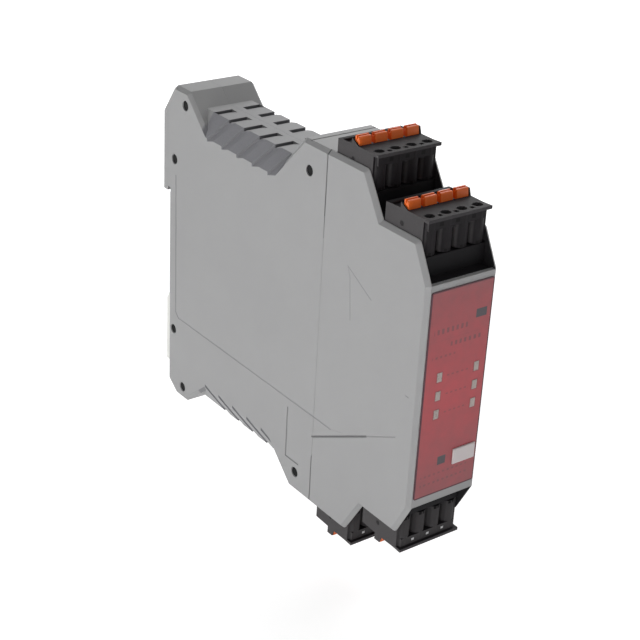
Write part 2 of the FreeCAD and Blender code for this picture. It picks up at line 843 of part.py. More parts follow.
def terminal_plug(label):
    # Pluggable terminal block: a flat-topped block with round columns in front, one per wire.
    body = new_body(label)
    side_face = new_sketch(body, label + "Side", "YZ_Plane")
    lip_under = d.lip_height - d.lip_thick
    polygon(side_face, [
        (zero, zero),
        (zero, d.plug_rear_height),
        (-d.cheek_foot, d.plug_height),
        (-d.column_axis, d.plug_height),
        (-d.lip_front, d.lip_height),
        (-d.lip_front, lip_under),
        (-d.column_axis, lip_under),
        (-d.column_axis, zero),
    ])
    pad(body, side_face, 2 * d.plug_half, both=True)
    tongue = new_sketch(body, label + "Tongue", "XY_Plane", -d.plug_tongue)
    across = d.plug_half - d.tongue_inset
    rectangle(tongue, (-across, -d.column_axis), (across, -tongue_back))
    pad(body, tongue, d.plug_tongue)
    # Front edges of the side walls, and the collar that ties the columns together.
    edges = new_sketch(body, label + "Edges", "XY_Plane")
    for side in (-1, 1):
        outer = side * d.plug_half
        inner = side * (d.plug_half - d.side_edge)
        low, high = (outer, inner) if side < 0 else (inner, outer)
        rectangle(edges, (low, -d.side_front), (high, d.side_edge - d.column_axis))
    pad(body, edges, lip_under + d.close_fit)
    collar = new_sketch(body, label + "Collar", "XY_Plane", d.collar_foot)
    collar_half = d.pole_pitch * (d.poles - 1) / 2 + d.column_radius - d.side_edge
    rectangle(collar, (-collar_half, -d.collar_front), (collar_half, d.side_edge - d.column_axis))
    pad(body, collar, lip_under + d.close_fit - d.collar_foot)
    column = new_sketch(body, label + "Column", "XY_Plane")
    circle(column, (first_pole, -d.column_axis), d.column_radius)
    column_pad = pad(body, column, lip_under + d.close_fit)
    # Per pole: wire entry, trough and slot of the lever, socket for the pin, notches at the foot.
    wire = new_sketch(body, label + "Wire", "XY_Plane", d.wire_floor)
    rectangle(wire, (first_pole - d.wire_half, -d.wire_axis), (first_pole + d.wire_half, -d.wire_back))
    wire_cut = pocket(body, wire, d.plug_height)
    funnel = new_sketch(body, label + "Funnel", "XY_Plane", d.wire_floor)
    circle(funnel, (first_pole, -d.wire_axis), d.wire_half)
    funnel_cut = pocket(body, funnel, d.plug_height)
    trough = new_sketch(body, label + "Trough", "XY_Plane", d.lever_foot - d.lever_travel - d.contact_gap)
    trough_half = d.lever_width / 2 + d.sliding_fit
    trough_front = -d.lever_front - d.sliding_fit
    trough_back = d.sliding_fit - d.lever_back
    rectangle(trough, (first_pole - trough_half, trough_front), (first_pole + trough_half, trough_back))
    trough_cut = pocket(body, trough, d.plug_height)
    slot = new_sketch(body, label + "Slot", "XY_Plane", d.stem_foot - d.lever_travel - d.contact_gap)
    slot_half = d.stem_half + d.sliding_fit
    slot_low = (first_pole - slot_half, -d.stem_front - d.sliding_fit)
    rectangle(slot, slot_low, (first_pole + slot_half, d.sliding_fit - d.stem_back))
    slot_cut = pocket(body, slot, d.plug_height)
    socket = new_sketch(body, label + "Socket", "XY_Plane", -d.plug_tongue)
    socket_half = d.pin_half + d.sliding_fit
    socket_low = (first_pole - socket_half, -d.pin_depth - socket_half)
    rectangle(socket, socket_low, (first_pole + socket_half, socket_half - d.pin_depth))
    socket_cut = pocket(body, socket, d.plug_tongue + d.pin_top + d.contact_gap)
    notch = new_sketch(body, label + "Notch", "XZ_Plane", d.column_axis + d.column_radius - d.window_depth)
    for side in (-1, 1):
        ends = (first_pole + side * d.notch_inner, first_pole + side * d.notch_outer)
        low, high = ends if side > 0 else ends[::-1]
        rectangle(notch, (low, -d.notch_tall), (high, d.notch_tall))
    notch_cut = pocket(body, notch, 2 * d.window_depth, along=False)
    repeat(body, label + "Poles", [column_pad, wire_cut, funnel_cut, trough_cut, slot_cut, socket_cut,
                                   notch_cut], "X_Axis", d.poles, d.pole_pitch)
    # Between the poles: a test opening in the top and a small window in the collar.
    between = first_pole + d.pole_pitch / 2
    probe = new_sketch(body, label + "Probe", "XY_Plane", d.lip_height - d.probe_depth)
    probe_low = (between - d.probe_half, -d.probe_middle - d.probe_half)
    rectangle(probe, probe_low, (between + d.probe_half, d.probe_half - d.probe_middle))
    probe_cut = pocket(body, probe, d.plug_height)
    window = new_sketch(body, label + "Window", "XZ_Plane", d.collar_front - d.window_depth)
    window_high = (between + d.window_half, d.window_low + d.window_tall)
    rectangle(window, (between - d.window_half, d.window_low), window_high)
    window_cut = pocket(body, window, 2 * d.window_depth, along=False)
    repeat(body, label + "Between", [probe_cut, window_cut], "X_Axis", d.poles - 1, d.pole_pitch)
    # Open recess that the levers stand in, from the rear wall to their front.
    recess = new_sketch(body, label + "Recess", "XY_Plane", d.recess_floor)
    recess_half = trough_half - first_pole
    rectangle(recess, (-recess_half, trough_front), (recess_half, -d.rear_wall))
    pocket(body, recess, d.plug_height)
    # Cheeks at the ends of the row of levers.
    low_cheek = new_sketch(body, label + "LowCheek", "YZ_Plane", -d.plug_half)
    polygon(low_cheek, [
        (-d.cheek_back, d.recess_floor),
        (-d.cheek_back, d.low_cheek),
        (-d.cheek_foot, d.plug_height),
        (-d.cheek_foot, d.recess_floor),
    ])
    pad(body, low_cheek, d.plug_half - recess_half)
    high_cheek = new_sketch(body, label + "HighCheek", "YZ_Plane", recess_half)
    polygon(high_cheek, [
        (-d.cheek_back, d.recess_floor),
        (-d.cheek_back, d.high_cheek),
        (-d.high_cheek_front, d.high_cheek),
        (-d.cheek_foot, d.plug_height),
        (-d.cheek_foot, d.recess_floor),
    ])
    pad(body, high_cheek, d.plug_half - recess_half)
    return body


def release_lever(label):
    # Push lever: an upright cap with a groove across its top and a stem that reaches down to the clamp.
    body = new_body(label)
    cap = new_sketch(body, label + "Cap", "YZ_Plane")
    groove_back = d.groove_wide - d.groove_front
    polygon(cap, [
        (-d.lever_front, d.lever_foot),
        (-d.lever_front, d.plug_height),
        (d.lever_lean - d.lever_front, d.lever_low - d.lever_edge),
        (d.lever_lean + d.lever_edge - d.lever_front, d.lever_low),
        (-d.groove_front, d.lever_low),
        (-d.groove_front, d.lever_low - d.groove_depth),
        (groove_back, d.lever_low - d.groove_depth),
        (groove_back, d.lever_high),
        (-d.lever_back - d.lever_edge, d.lever_high),
        (-d.lever_back, d.lever_high - d.lever_edge),
        (-d.lever_back, d.lever_foot),
    ])
    pad(body, cap, d.lever_width, both=True)
    stem = new_sketch(body, label + "Stem", "XY_Plane", d.stem_foot)
    rectangle(stem, (-d.stem_half, -d.stem_front), (d.stem_half, -d.stem_back))
    pad(body, stem, d.lever_foot - d.stem_foot)
    return body


def clamp_springs(label):
    # Bent steel strips that stand in the wire entries and grip the wires.
    body = new_body(label)
    side_face = new_sketch(body, label + "Side", "YZ_Plane", first_pole)
    back = -d.wire_back - d.sliding_fit
    front = d.sliding_fit - d.wire_axis - d.clamp_reach
    low = d.wire_floor + d.sliding_fit
    strip = d.clamp_strip
    polygon(side_face, [
        (back, low),
        (back, d.clamp_height),
        (back - strip, d.clamp_height),
        (back - strip, low + strip),
        (front + 2 * strip, low + strip),
        (back - 2 * strip, d.clamp_tongue),
        (back - 3 * strip, d.clamp_tongue),
        (front, low + strip),
        (front, low),
    ])
    strip_pad = pad(body, side_face, 2 * d.clamp_half, both=True)
    repeat(body, label + "Row", [strip_pad], "X_Axis", d.poles, d.pole_pitch)
    return body


def pin_header(label, reach):
    # Moulded trough under a plug; its shelf closes the step down to the next tier.
    body = new_body(label)
    side_face = new_sketch(body, label + "Side", "YZ_Plane")
    deck = -d.plug_tongue - d.contact_gap
    under = deck - d.header_floor
    face = d.header_front + d.header_thick
    polygon(side_face, [
        (zero, under),
        (zero, -d.contact_gap),
        (-d.header_wall, -d.contact_gap),
        (-d.header_wall, deck),
        (-d.header_front, deck),
        (-d.header_front, -d.contact_gap),
        (-face, -d.contact_gap),
        (-face, -d.shelf_drop),
        (-reach, -d.shelf_drop),
        (-reach, -d.shelf_drop - d.shelf_thick),
        (-d.header_front, -d.shelf_drop - d.shelf_thick),
        (-d.header_front, under),
    ])
    pad(body, side_face, 2 * (inside - d.sliding_fit), both=True)
    bore = new_sketch(body, label + "Bore", "XY_Plane", under)
    low = (first_pole - d.pin_half, -d.pin_depth - d.pin_half)
    rectangle(bore, low, (first_pole + d.pin_half, d.pin_half - d.pin_depth))
    bore_cut = pocket(body, bore, 2 * d.header_floor)
    repeat(body, label + "Bores", [bore_cut], "X_Axis", d.poles, d.pole_pitch)
    return body


def header_pins(label, way):
    # Square pins through the header; each turns off to the board below its neighbour's tail.
    body = new_body(label)
    for number in range(int(values["poles"])):
        x = pole_x(number)
        steps = number if way < 0 else d.poles - 1 - number
        tail = -d.pin_first_tail - steps * d.pin_tail_step
        upright = new_sketch(body, f"{label}Pin{number + 1}", "XZ_Plane", d.pin_depth)
        inner = x - way * d.pin_half
        outer = x + way * d.pin_half
        polygon(upright, [
            (inner, d.pin_top),
            (outer, d.pin_top),
            (outer, tail + d.pin_half),
            (way * d.board_face, tail + d.pin_half),
            (way * d.board_face, tail - d.pin_half),
            (inner, tail - d.pin_half),
        ])
        pad(body, upright, 2 * d.pin_half, both=True)
    return body


# The four terminal groups: two tiers above, two below turned upside down.
tiers = [
    ("top_rear", d.plug_back, d.plug_foot, False, d.tier_two_back - d.plug_back - d.sliding_fit),
    ("top_front", d.plug_back + d.tier_reach, d.plug_foot - d.tier_drop, False,
     d.front_depth - d.front_wall - d.plug_back - d.tier_reach - d.sliding_fit),
]
tiers += [(name.replace("top", "bottom"), depth, 2 * d.hood_lift - foot, True, reach)
          for name, depth, foot, _, reach in tiers]
for name, depth, foot, upside_down, reach in tiers:
    place(terminal_plug("plug_" + name), zero, -depth, foot, upside_down)
    place(clamp_springs("clamps_" + name), zero, -depth, foot, upside_down)
    place(pin_header("header_" + name, reach), zero, -depth, foot, upside_down)
    place(header_pins("pins_" + name, 1 if upside_down else -1), zero, -depth, foot, upside_down)
    for number in range(int(values["poles"])):
        spot = pole_x(number)
        place(release_lever(f"lever_{name}_{number + 1}"), spot, -depth, foot, upside_down)

# Main board along the left wall, with a neck that reaches the front between the lower tiers.
board = new_body("circuit_board")
board_face = new_sketch(board, "BoardFace", "YZ_Plane", -d.board_face)
wing_top = d.hood_lift + d.board_wing
wing_low = d.hood_lift - d.board_wing
neck_top = d.hood_lift + d.board_neck_half
neck_low = d.hood_lift - d.board_neck_half
lamp_board_back = lamp_back + d.lamp_board_thick
board_tip = lamp_board_back + d.contact_gap
polygon(board_face, [
    (-d.board_back, -d.board_half),
    (-d.board_back, d.board_half),
    (-d.board_shoulder, d.board_half),
    (-d.board_shoulder, wing_top),
    (-d.board_neck, wing_top),
    (-d.board_neck, neck_top),
    (board_tip, neck_top),
    (board_tip, neck_low),
    (-d.board_neck, neck_low),
    (-d.board_neck, wing_low),
    (-d.board_shoulder, wing_low),
    (-d.board_shoulder, -d.board_half),
])
pad(board, board_face, d.board_thick, along=False)
box_node(
    "lamp_board",
    (-d.lamp_board_half, lamp_back, -d.lamp_board_bottom),
    (d.lamp_board_half, lamp_board_back, d.lamp_board_top),
)


def relay(label, middle):
    body = new_body(label)
    side_face = new_sketch(body, label + "Side", "YZ_Plane", -d.board_face)
    low = (-d.relay_back - d.relay_length, middle - d.relay_width / 2)
    rectangle(side_face, low, (-d.relay_back, middle + d.relay_width / 2))
    can = pad(body, side_face, d.relay_tall)
    top = values["relay_tall"] - values["board_face"]
    dress(body, "PartDesign::Fillet", can, d.relay_round,
          lambda edge: near(edge.BoundBox.XMin, top) and near(edge.BoundBox.XMax, top))


for number, step in enumerate((1, 0, -1), start=1):
    relay(f"relay_{number}", step * d.relay_pitch)

capacitor = new_body("capacitor")
capacitor_face = new_sketch(capacitor, "CapacitorFace", "YZ_Plane", -d.board_face)
circle(capacitor_face, (-d.capacitor_depth, d.capacitor_height), d.capacitor_radius)
pad(capacitor, capacitor_face, d.capacitor_tall)
coil_low = (-d.board_face, -d.coil_back - d.coil_length, d.coil_middle - d.coil_width / 2)
coil_high = (d.coil_tall - d.board_face, -d.coil_back, d.coil_middle + d.coil_width / 2)
box_node("supply_coil", coil_low, coil_high)

doc.recompute()
problems = []
for thing in doc.Objects:
    if "Invalid" in thing.State or "Error" in thing.State:
        problems.append(f"{thing.Name} failed")
    if thing.TypeId in ("PartDesign::Pocket", "PartDesign::SubtractiveLoft"):
        if thing.Shape.isNull() or thing.BaseFeature.Shape.isNull():
            problems.append(f"{thing.Name} has no shape")
        elif thing.Shape.Volume > thing.BaseFeature.Shape.Volume - 0.001:
            problems.append(f"{thing.Name} cuts nothing")
for node in nodes:
    if node.Shape.isNull() or not node.Shape.isValid() or not node.Shape.Solids:
        problems.append(f"{node.Label} has no valid shape")
if problems:
    raise RuntimeError("; ".join(problems))

os.makedirs("parts", exist_ok=True)
for node in nodes:
    node.Shape.exportStep(f"parts/{node.Label}.step")
    print(node.Label, len(node.Shape.Solids), round(node.Shape.Volume, 1))
print(len(nodes), "nodes")
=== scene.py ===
import math

import bmesh
import bpy
from mathutils import Matrix, Vector


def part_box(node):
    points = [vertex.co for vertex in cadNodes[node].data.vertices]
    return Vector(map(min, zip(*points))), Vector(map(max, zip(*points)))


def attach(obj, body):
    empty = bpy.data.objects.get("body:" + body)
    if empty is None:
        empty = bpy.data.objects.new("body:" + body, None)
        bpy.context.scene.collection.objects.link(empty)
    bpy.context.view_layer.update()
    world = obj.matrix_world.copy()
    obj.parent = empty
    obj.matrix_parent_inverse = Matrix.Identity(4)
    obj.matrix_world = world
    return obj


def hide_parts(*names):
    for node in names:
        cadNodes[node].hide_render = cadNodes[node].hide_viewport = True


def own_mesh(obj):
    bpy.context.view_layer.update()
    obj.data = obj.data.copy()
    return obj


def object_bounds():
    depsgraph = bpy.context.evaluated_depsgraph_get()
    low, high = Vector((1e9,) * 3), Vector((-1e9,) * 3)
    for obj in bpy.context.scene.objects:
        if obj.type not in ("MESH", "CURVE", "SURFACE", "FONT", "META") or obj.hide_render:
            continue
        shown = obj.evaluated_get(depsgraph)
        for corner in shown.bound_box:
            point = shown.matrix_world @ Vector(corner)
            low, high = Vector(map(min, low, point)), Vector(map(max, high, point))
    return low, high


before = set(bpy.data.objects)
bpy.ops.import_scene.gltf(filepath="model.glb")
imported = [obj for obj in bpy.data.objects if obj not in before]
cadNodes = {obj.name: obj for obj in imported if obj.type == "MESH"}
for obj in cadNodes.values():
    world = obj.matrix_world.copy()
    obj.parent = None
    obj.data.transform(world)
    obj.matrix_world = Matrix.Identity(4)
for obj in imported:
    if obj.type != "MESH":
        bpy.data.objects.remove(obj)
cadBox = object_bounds()
mm = 0.001
print("frame loaded:", len(cadNodes), "nodes")


# Shader maths: a wrapped socket that adds Math nodes for the operators used below.
class Link:
    def __init__(self, graph, socket):
        self.graph = graph
        self.socket = socket

    def math(self, operation, *others, clamp=False):
        settings = {"operation": operation, "use_clamp": clamp}
        return self.graph.node("ShaderNodeMath", settings, dict(enumerate((self, *others))))

    def __add__(self, other):
        return self.math("ADD", other)

    def __radd__(self, other):
        return self.math("ADD", other)

    def __sub__(self, other):
        return self.math("SUBTRACT", other)

    def __rsub__(self, other):
        return self.graph.number(other).math("SUBTRACT", self)

    def __mul__(self, other):
        return self.math("MULTIPLY", other)

    def __rmul__(self, other):
        return self.math("MULTIPLY", other)

    def __truediv__(self, other):
        return self.math("DIVIDE", other)

    def size(self):
        return self.math("ABSOLUTE")

    def clamped(self):
        return self.math("ADD", 0.0, clamp=True)

    def past(self, edge, steepness):
        # 0 up to the edge, then rising to 1
        return ((self - edge) * steepness).clamped()

    def short(self, edge, steepness):
        # 1 well before the edge, falling to 0 at it
        return ((edge - self) * steepness).clamped()


class Graph:
    # A node tree, of a material or of the world.
    def __init__(self, tree):
        self.tree = tree

    def node(self, kind, settings=None, inputs=None, output=0):
        made = self.tree.nodes.new(kind)
        for key, value in (settings or {}).items():
            setattr(made, key, value)
        for key, value in (inputs or {}).items():
            if isinstance(value, Link):
                self.tree.links.new(value.socket, made.inputs[key])
            else:
                made.inputs[key].default_value = value
        return Link(self, made.outputs[output])

    def number(self, value):
        return self.node("ShaderNodeMath", {"operation": "ADD"}, {0: value, 1: 0.0})

    def mix(self, factor, first, second):
        colours = {0: factor, 6: first, 7: second}
        return self.node("ShaderNodeMix", {"data_type": "RGBA"}, colours, output=2)

    def axes(self, vector):
        split = self.node("ShaderNodeSeparateXYZ", None, {0: vector})
        return [Link(self, socket) for socket in split.socket.node.outputs]

    def backdropRays(self):
        # 1 for rays that see a white backdrop: from the camera, and off or through a surface
        fromCamera = self.node("ShaderNodeLightPath", output="Is Camera Ray")
        offSurface = self.node("ShaderNodeLightPath", output="Is Glossy Ray")
        throughSurface = self.node("ShaderNodeLightPath", output="Is Transmission Ray")
        return fromCamera.math("MAXIMUM", offSurface).math("MAXIMUM", throughSurface)


class Finish(Graph):
    # A material whose Principled shader takes plain numbers at once and links through put.
    def __init__(self, name, plain):
        self.material = bpy.data.materials.new(name)
        self.material.use_nodes = True
        super().__init__(self.material.node_tree)
        self.shader = next(n for n in self.tree.nodes if n.type == "BSDF_PRINCIPLED")
        for socketName, value in plain.items():
            self.shader.inputs[socketName].default_value = value

    def put(self, socketName, link):
        self.tree.links.new(link.socket, self.shader.inputs[socketName])

    def place(self):
        # object coordinates in millimetres
        spot = self.node("ShaderNodeTexCoord", output="Object")
        return self.node("ShaderNodeVectorMath", {"operation": "SCALE"}, {0: spot, 3: 1 / mm})

    def normal(self):
        return self.axes(self.node("ShaderNodeTexCoord", output="Normal"))

    def noise(self, spot, scale, detail=2.0, roughness=0.5):
        return self.node("ShaderNodeTexNoise", None, {
            "Vector": spot, "Scale": scale, "Detail": detail, "Roughness": roughness})

    def bump(self, height, depth, strength):
        # depth in millimetres, for a height of 1
        self.put("Normal", self.node("ShaderNodeBump", None, {
            "Strength": strength, "Distance": depth * mm, "Height": height}))


def shade(red, green, blue):
    # sRGB 0..255 to the linear colour that a socket takes
    linear = []
    for part in (red, green, blue):
        part = part / 255
        linear.append(part / 12.92 if part <= 0.04045 else ((part + 0.055) / 1.055) ** 2.4)
    return (*linear, 1.0)


def greatest(masks):
    found = masks[0]
    for mask in masks[1:]:
        found = found.math("MAXIMUM", mask)
    return found


def stroke(y, z, start, end, width):
    # 1 on the line from start to end, falling to 0 at width millimetres from it
    runY, runZ = end[0] - start[0], end[1] - start[1]
    squared = runY * runY + runZ * runZ
    along = (((y - start[0]) * runY + (z - start[1]) * runZ) / squared).clamped()
    offY = y - start[0] - along * runY
    offZ = z - start[1] - along * runZ
    away = (offY * offY + offZ * offZ).math("SQRT")
    return (1 - away / width).clamped()


def field(x, z, left, right, low, high, soft):
    # 1 inside a rectangle, with an edge of soft millimetres
    acrossX = ((right - left) / 2 - (x - (left + right) / 2).size()) / soft
    acrossZ = ((high - low) / 2 - (z - (low + high) / 2).size()) / soft
    return acrossX.math("MINIMUM", acrossZ).clamped()


# Housing: mid grey moulded plastic with a fine eroded texture and the shallow lines of its sides.
housingLook = {
    "colour": shade(160, 160, 160),
    "shadow": shade(146, 146, 147),
    "roughness": 0.55,
    "grain": 2.6,
    "grainDepth": 0.035,
    "cloud": 0.045,
    "line": shade(92, 92, 94),
    "lineDepth": 0.4,
    "sideFace": 11.2,  # lines show on the faces beyond this distance from the middle
    "lines": [
        # start and end as (Y, Z), half width, darkness
        ((-3.2, 22.7), (-3.6, -21.1), 0.36, 0.6),
        ((-3.6, -21.1), (-5.2, -22.6), 0.36, 0.6),
        ((-5.2, -22.6), (-82.5, -22.6), 0.34, 0.42),
        ((-82.5, -22.6), (-87.5, -21.2), 0.26, 0.1),
        ((-74.7, -28.9), (-97.5, -17.2), 0.38, 1.0),
        ((-97.5, -17.2), (-108.8, -11.7), 0.24, 0.35),
        ((-63.0, -25.5), (-63.0, -40.9), 0.32, 0.8),
        ((-63.0, -40.9), (-68.9, -40.9), 0.32, 0.8),
        ((-85.6, 26.4), (-95.5, 21.0), 0.26, 0.3),
        ((-86.7, 23.8), (-87.8, 12.2), 0.26, 0.3),
        ((-85.6, 26.4), (-86.7, 23.8), 0.26, 0.3),
        ((-111.4, 1.5), (-112.4, 1.5), 0.26, 0.4),
    ],
    "rim": 10.0,  # the seam runs on over the rounded rim, from this distance
    "seam": [
        ((-74.9, 54.5), (-74.9, 36.0), 0.3, 0.9),
        ((-74.9, 36.0), (-74.9, 30.0), 0.26, 0.5),
        ((-74.9, -35.0), (-74.9, -53.0), 0.3, 0.75),
    ],
    "lining": shade(34, 33, 35),
    "liningHalf": 10.15,
    "liningBack": -75.4,
    # painted shade of the louvres, which lie in a valley of the housing
    "ventShade": shade(118, 118, 123),
    "ventShadeBelow": 0.15,  # share of the painted shade that the lower vents take
    "ventShadeOnTop": 0.3,
    "ventShadeOnFlank": 0.55,  # more than on top
    # painted shadow on the louvres' risers
    "riser": shade(92, 92, 96),
    "riserStrength": 0.9,
    "vent": (-56.5, -16.5, 34.0, 46.2),  # front, back, and height from and to
    "ventFlat": 44.4,
}


def housingFinish():
    look = housingLook
    finish = Finish("housingGrey", {"IOR": 1.46, "Specular IOR Level": 0.4})
    spot = finish.place()
    x, y, z = finish.axes(spot)
    across, height = x.size(), z.size()
    sideways, endways, upright = (part.size() for part in finish.normal())
    grain = finish.noise(spot, look["grain"], 4.0, 0.6)
    cloud = finish.noise(spot, look["cloud"])
    base = finish.mix(cloud * 0.5 + grain * 0.3, look["shadow"], look["colour"])
    # The inner faces beside the plugs are lined with the header's black plastic.
    lined = across.short(look["liningHalf"], 20) * y.short(look["liningBack"], 8)
    base = finish.mix(lined * sideways.past(0.8, 10), base, look["lining"])
    # Painted shade greys the louvres in their valley, most of all their sloping flanks, and hardly
    # the lower ones.
    vent = field(y, height, *look["vent"], 0.8)
    upper = z.past(0, 100) * (1 - look["ventShadeBelow"]) + look["ventShadeBelow"]
    flank = sideways.past(0.3, 5) * look["ventShadeOnFlank"] + look["ventShadeOnTop"]
    ventShade = vent * upright.past(0.15, 6) * upper * flank * (grain * 0.5 + 0.75)
    base = finish.mix(ventShade, base, look["ventShade"])
    # Painted shadow darkens the risers, as in the narrow steps between the louvres. The slopes
    # beside a vent don't face sideways as the risers do, and stay unshaded.
    riser = sideways.past(0, 5).math("MAXIMUM", height.past(look["ventFlat"], 4))
    riser = vent * endways.past(0.3, 5) * riser * look["riserStrength"]
    base = finish.mix(riser, base, look["riser"])
    lines, seam = (greatest([stroke(y, z, start, end, width) * dark
                             for start, end, width, dark in look[kind]])
                   for kind in ("lines", "seam"))
    lines = lines * across.past(look["sideFace"], 40)
    lines = lines.math("MAXIMUM", seam * across.past(look["rim"], 40))
    finish.put("Base Color", finish.mix(lines, base, look["line"]))
    finish.put("Roughness", grain * 0.16 + (look["roughness"] - 0.08))
    finish.bump(grain * look["grainDepth"] - lines * look["lineDepth"], 1.0, 0.9)
    return finish.material


# Label: satin red film with a thin dark edge and plain printed fields.
labelLook = {
    "red": shade(188, 66, 73),
    "deep": shade(135, 71, 75),
    "middle": 2.0,  # height where the red is clearest, it deepens above and below
    "fade": 30.0,
    "mottle": 0.35,
    "grain": 7.0,
    "grainDepth": 0.012,
    "edge": shade(70, 26, 38),
    "edgeWidth": 0.32,
    "box": (-9.95, 9.95, -27.0, 30.9),  # left, right, low and high
    "print": shade(58, 60, 66),
    "windowColumns": (-5.1, 6.85),
    "windowRows": (7.1, 1.9, -3.3),
    "windowHalf": (1.15, 1.65),
    "windowDark": 0.3,
    "fields": [
        # left, right, low and high, then strength
        (-3.2, -0.4, -18.7, -16.1, 0.95),
        (4.9, 8.5, 20.8, 23.3, 0.95),
        (-7.6, 7.4, 17.2, 17.4, 0.3),
    ],
    "dashes": [
        # rows of plain dashes, given in the same way
        (-8.2, 2.6, 19.0, 20.6, 0.5),
        (-2.6, 8.0, 15.0, 16.4, 0.5),
        (-8.2, -0.6, 12.4, 13.2, 0.4),
        (-3.2, 4.4, 6.8, 7.4, 0.45),
        (-3.2, 4.4, 1.6, 2.2, 0.45),
        (-3.2, 4.4, -3.6, -3.0, 0.45),
        (-8.4, 7.6, -21.4, -20.6, 0.35),
        (-8.4, 7.6, -23.8, -23.0, 0.35),
    ],
    "dashScale": 0.21,
}


def labelFinish():
    look = labelLook
    finish = Finish("labelRed", {"IOR": 1.48, "Specular IOR Level": 0.45})
    spot = finish.place()
    x, _, z = finish.axes(spot)
    mottle = finish.noise(spot, look["mottle"], 3.0, 0.55)
    grain = finish.noise(spot, look["grain"], 2.0, 0.6)
    ends = ((z - look["middle"]).size() / look["fade"]).clamped()
    red = finish.mix((mottle * 0.6 + ends * 0.6).clamped(), look["red"], look["deep"])
    printed = [field(x, z, *box, 0.15) * strength for *box, strength in look["fields"]]
    halfWide, halfTall = look["windowHalf"]
    for column in look["windowColumns"]:
        for row in look["windowRows"]:
            surround = (column - halfWide, column + halfWide, row - halfTall, row + halfTall)
            printed.append(field(x, z, *surround, 0.25) * look["windowDark"])
    wave = finish.node("ShaderNodeTexWave", {"wave_type": "BANDS", "bands_direction": "X"}, {
        "Vector": spot, "Scale": look["dashScale"], "Distortion": 1.4, "Detail": 2.0,
        "Detail Scale": 0.6})
    dashes = wave.past(0.4, 6)
    printed += [field(x, z, *box, 0.2) * strength * dashes for *box, strength in look["dashes"]]
    red = finish.mix(greatest(printed), red, look["print"])
    left, right, low, high = look["box"]
    edge = look["edgeWidth"]
    inner = field(x, z, left + edge, right - edge, low + edge, high - edge, 0.12)
    finish.put("Base Color", finish.mix(inner, look["edge"], red))
    finish.put("Roughness", mottle * 0.12 + 0.3)
    finish.bump(grain, look["grainDepth"], 0.6)
    return finish.material


# Terminal plugs: black glass-filled plastic, faintly mottled, with one dimple in each side wall.
plugLook = {
    "light": shade(38, 36, 38),
    "dark": shade(24, 22, 24),
    # painted light on the side walls and on the lower plugs' fronts
    "wall": shade(76, 74, 75),
    # painted highlight along the top of the plugs' fronts
    "lipHighlight": shade(66, 64, 66),
    # painted shade in the windows and notches
    "hollow": shade(14, 13, 14),
    # painted glint in the lower plugs' windows
    "glint": shade(205, 205, 206),
    "roughness": 0.6,
    "grain": 3.4,
    "grainDepth": 0.03,
    "drift": 0.3,
    "lowFrontLight": 0.65,  # how much paler the lower plugs' fronts are painted, for light from below
    "dimple": shade(16, 16, 17),
    "dimples": [(-83.3, 53.7), (-103.3, 44.1), (-83.3, -50.5), (-103.3, -40.9)],  # as (Y, Z)
    "dimpleRadius": 0.75,
    "dimpleDepth": 0.35,
    "sideWall": 9.8,
    "polePitch": 5.0,
    "poles": 4,
    "tierSplit": -95.0,  # the rear plugs lie behind this Y
    "frontFoot": 38.4,  # height of the upper front plug's foot
    "tierStep": 9.6,
    "lowShift": 3.2,
    # distance from the pole, near and far, and height above the foot, from and to
    "window": (1.85, 3.0, 7.05, 8.15),
    "windowLight": (1.95, 2.9, 7.15, 8.05),
    "notch": (0.1, 0.95, -0.2, 0.85),
    "windowHalf": 9.0,
    "lipFrom": 8.75,
}


def plugFinish():
    look = plugLook
    finish = Finish("plugBlack", {"IOR": 1.47, "Specular IOR Level": 0.1})
    spot = finish.place()
    x, y, z = finish.axes(spot)
    sideways, endways, _ = finish.normal()
    forward = (endways * -1).past(0.5, 4)
    grain = finish.noise(spot, look["grain"], 4.0, 0.6)
    drift = finish.noise(spot, look["drift"])
    base = finish.mix(drift * 0.7 + grain * 0.3, look["dark"], look["light"])
    # Painted light: the side walls are painted paler, as lit from the side.
    base = finish.mix(sideways.size().past(0.7, 5) * (grain * 0.4 + 0.7), base, look["wall"])
    # Height above the plug's foot and distance from the nearest pole, alike for all four plugs.
    below = z.short(0, 100)
    rear = y.past(look["tierSplit"], 100)
    height = z.size() - look["frontFoot"] + below * look["lowShift"] - rear * look["tierStep"]
    pitch = look["polePitch"]
    fromPole = ((x + look["poles"] * pitch).math("MODULO", pitch) - pitch / 2).size()
    # Painted light: the lower plugs' fronts are painted paler, as lit from below, and their windows
    # get a painted glint of light from behind.
    base = finish.mix(below * forward * look["lowFrontLight"], base, look["wall"])
    # Painted highlight along the lip at the top of each plug's front.
    lipHighlight = height.past(look["lipFrom"], 12) * forward * (grain * 0.5 + 0.6)
    base = finish.mix(lipHighlight, base, look["lipHighlight"])
    # Painted shade darkens the windows under the lip and the notches at the columns' feet.
    inner = x.size().short(look["windowHalf"], 20)
    windows = field(fromPole, height, *look["window"], 0.08) * inner
    notches = field(fromPole, height, *look["notch"], 0.08)
    base = finish.mix(windows.math("MAXIMUM", notches) * forward, base, look["hollow"])
    # Painted glint: the lower plugs' windows are painted pale, for light seen through them from
    # behind.
    glints = field(fromPole, height, *look["windowLight"], 0.25) * inner * forward * below
    base = finish.mix(glints, base, look["glint"])
    dimples = []
    for dimpleY, dimpleZ in look["dimples"]:
        offY, offZ = y - dimpleY, z - dimpleZ
        away = (offY * offY + offZ * offZ).math("SQRT")
        dimples.append(away.short(look["dimpleRadius"], 4))
    dimples = greatest(dimples) * x.size().past(look["sideWall"], 40)
    finish.put("Base Color", finish.mix(dimples * 0.7, base, look["dimple"]))
    finish.put("Roughness", grain * 0.16 + drift * 0.1 + (look["roughness"] - 0.12))
    finish.bump(grain * look["grainDepth"] - dimples * look["dimpleDepth"], 1.0, 0.8)
    return finish.material


